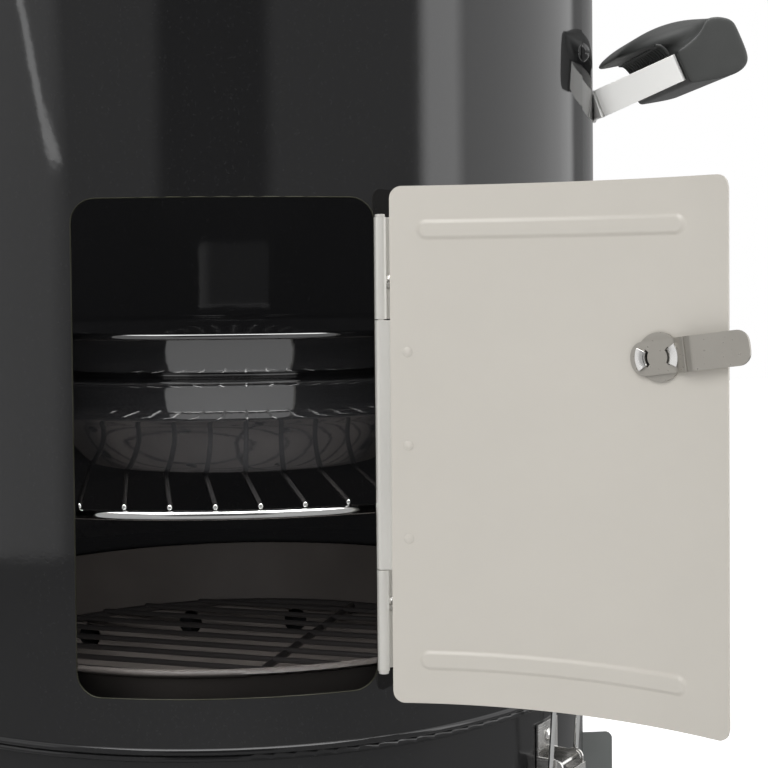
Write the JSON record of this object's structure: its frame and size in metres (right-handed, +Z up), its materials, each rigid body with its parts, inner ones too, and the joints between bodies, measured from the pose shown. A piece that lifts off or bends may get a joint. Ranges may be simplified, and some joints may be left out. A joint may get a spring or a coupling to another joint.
{
  "type": "smoker",
  "caption": "Upright charcoal water smoker: black enamelled barrel with an open hinged fuel door, chrome grates, water pan, charcoal pan, domed lid and legs",
  "frame": {"origin": "on the ground under the barrel's axis, at the height of the foot caps' undersides", "axes": "+Z up along the barrel's axis; -Y towards the fuel door's opening; +X to the right of someone who faces the opening"},
  "size_m": [0.6274, 0.5619, 1.0522],
  "materials": {
    "enamel_barrel": "glossy black enamel",
    "enamel_base": "satin black enamel",
    "enamel_lid": "glossy black enamel",
    "enamel_pan": "glossy black enamel",
    "enamel_grate": "satin black enamel",
    "pan_steel": "matt grey-brown steel",
    "leg_paint": "grey painted steel",
    "rubber_cap": "matt black rubber",
    "zinc_steel": "zinc-plated steel",
    "door_steel": "satin light grey steel",
    "chrome_wire": "chrome-plated wire",
    "plated_steel": "plated sheet steel",
    "moulded_plastic": "satin charcoal-grey moulding",
    "gauge_case": "polished steel",
    "gauge_dial": "white printed dial",
    "gauge_glass": "clear glass",
    "gauge_needle": "satin red paint"
  },
  "bodies": {
    "stand": {"base_bowl": "enamel_base", "base_damper_rivet": "zinc_steel", "leg_right": "leg_paint", "leg_rear": "leg_paint", "leg_front": "leg_paint", "leg_caps": "rubber_cap", "leg_bolts": "zinc_steel", "leg_nuts": "zinc_steel", "barrel": "enamel_barrel", "hinge_barrel_leaf": "plated_steel", "hinge_pin": "plated_steel", "hinge_bolts": "plated_steel", "hinge_nuts": "zinc_steel", "right_handle_strap": "plated_steel", "right_handle_grip": "moulded_plastic", "left_handle_strap": "plated_steel", "left_handle_grip": "moulded_plastic", "grip_screws": "zinc_steel", "barrel_bolts": "zinc_steel", "barrel_nuts": "zinc_steel", "grate_brackets": "zinc_steel", "toggle_plates": "plated_steel", "toggle_catches": "plated_steel", "toggle_rivets": "plated_steel"},
    "vent_disc": {"base_damper": "zinc_steel"},
    "fire_pan": {"charcoal_pan": "pan_steel", "charcoal_pan_feet": "zinc_steel"},
    "fire_grate": {"charcoal_grate_ring": "enamel_grate", "charcoal_grate": "enamel_grate"},
    "door": {"door_panel": "door_steel", "hinge_door_leaf": "plated_steel", "door_rivets": "plated_steel"},
    "door_latch": {"latch_tongue": "plated_steel", "latch_washer": "plated_steel", "latch_wing": "moulded_plastic"},
    "cook_grate_low": {"lower_grate_ring": "chrome_wire", "lower_grate": "chrome_wire"},
    "water_bowl": {"water_pan": "enamel_pan"},
    "cook_grate_high": {"upper_grate_ring": "chrome_wire", "upper_grate": "chrome_wire"},
    "cover": {"lid": "enamel_lid", "lid_handle_strap": "plated_steel", "lid_handle_grip": "moulded_plastic", "lid_grip_screws": "zinc_steel", "lid_bolts": "zinc_steel", "lid_damper_rivet": "zinc_steel", "thermometer_case": "gauge_case", "thermometer_dial": "gauge_dial", "thermometer_glass": "gauge_glass", "thermometer_nut": "zinc_steel"},
    "cover_vent_disc": {"lid_damper": "zinc_steel"},
    "needle": {"thermometer_needle": "gauge_needle"},
    "lever_1": {"toggle_lever_1": "plated_steel"},
    "bail_1": {"toggle_bail_1": "chrome_wire"},
    "lever_2": {"toggle_lever_2": "plated_steel"},
    "bail_2": {"toggle_bail_2": "chrome_wire"},
    "lever_3": {"toggle_lever_3": "plated_steel"},
    "bail_3": {"toggle_bail_3": "chrome_wire"}
  },
  "joints": [
    {"name": "door_hinge", "type": "hinge", "parent": "stand", "child": "door", "pos_m": [0.07213, -0.2184, 0.55285], "axis": [0, 0, 1], "range_deg": [-153.6, 26.4]},
    {"name": "door_latch_turn", "type": "hinge", "parent": "door", "child": "door_latch", "pos_m": [0.19536, -0.28286, 0.59785], "axis": [0.6903, 0.7235, 0], "range_deg": [-82.6, 0]},
    {"name": "base_vent_turn", "type": "hinge", "parent": "stand", "child": "vent_disc", "pos_m": [0, 0, 0.2624], "axis": [0, 0, 1], "range_deg": [0, 60]},
    {"name": "charcoal_pan_lift", "type": "slide", "parent": "stand", "child": "fire_pan", "axis": [0, 0, 1], "range_m": [0, 0.03]},
    {"name": "charcoal_grate_lift", "type": "slide", "parent": "fire_pan", "child": "fire_grate", "axis": [0, 0, 1], "range_m": [0, 0.03]},
    {"name": "lower_grate_lift", "type": "slide", "parent": "stand", "child": "cook_grate_low", "axis": [0, 0, 1], "range_m": [0, 0.06]},
    {"name": "water_pan_lift", "type": "slide", "parent": "cook_grate_low", "child": "water_bowl", "axis": [0, 0, 1], "range_m": [0, 0.06]},
    {"name": "upper_grate_lift", "type": "slide", "parent": "stand", "child": "cook_grate_high", "axis": [0, 0, 1], "range_m": [0, 0.05]},
    {"name": "lid_lift", "type": "slide", "parent": "stand", "child": "cover", "axis": [0, 0, 1], "range_m": [0, 0.3]},
    {"name": "lid_vent_turn", "type": "hinge", "parent": "cover", "child": "cover_vent_disc", "pos_m": [0, 0.13032, 0.95945], "axis": [0, 0.5446, 0.8387], "range_deg": [0, 60]},
    {"name": "needle_turn", "type": "hinge", "parent": "cover", "child": "needle", "pos_m": [0, -0.16011, 0.93659], "axis": [0, -0.6691, 0.7431], "range_deg": [-130, 130]},
    {"name": "toggle_lever_1_swing", "type": "hinge", "parent": "stand", "child": "lever_1", "pos_m": [0.18022, -0.1408, 0.36535], "axis": [0.6157, 0.788, 0], "range_deg": [-90, 0]},
    {"name": "toggle_bail_1_swing", "type": "hinge", "parent": "lever_1", "child": "bail_1", "pos_m": [0.17864, -0.13957, 0.35335], "axis": [0.6157, 0.788, 0], "range_deg": [0, 77]},
    {"name": "toggle_lever_2_swing", "type": "hinge", "parent": "stand", "child": "lever_2", "pos_m": [0.03183, 0.22647, 0.36535], "axis": [-0.9903, 0.1392, 0], "range_deg": [-90, 0]},
    {"name": "toggle_bail_2_swing", "type": "hinge", "parent": "lever_2", "child": "bail_2", "pos_m": [0.03155, 0.22449, 0.35335], "axis": [-0.9903, 0.1392, 0], "range_deg": [0, 77]},
    {"name": "toggle_lever_3_swing", "type": "hinge", "parent": "stand", "child": "lever_3", "pos_m": [-0.21205, -0.08567, 0.36535], "axis": [0.3746, -0.9272, 0], "range_deg": [-90, 0]},
    {"name": "toggle_bail_3_swing", "type": "hinge", "parent": "lever_3", "child": "bail_3", "pos_m": [-0.21019, -0.08492, 0.35335], "axis": [0.3746, -0.9272, 0], "range_deg": [0, 77]}
  ],
  "couplings": [
    {"joint": "toggle_bail_1_swing", "follows": "toggle_lever_1_swing", "ratio": -0.85},
    {"joint": "toggle_bail_2_swing", "follows": "toggle_lever_2_swing", "ratio": -0.85},
    {"joint": "toggle_bail_3_swing", "follows": "toggle_lever_3_swing", "ratio": -0.85}
  ]
}
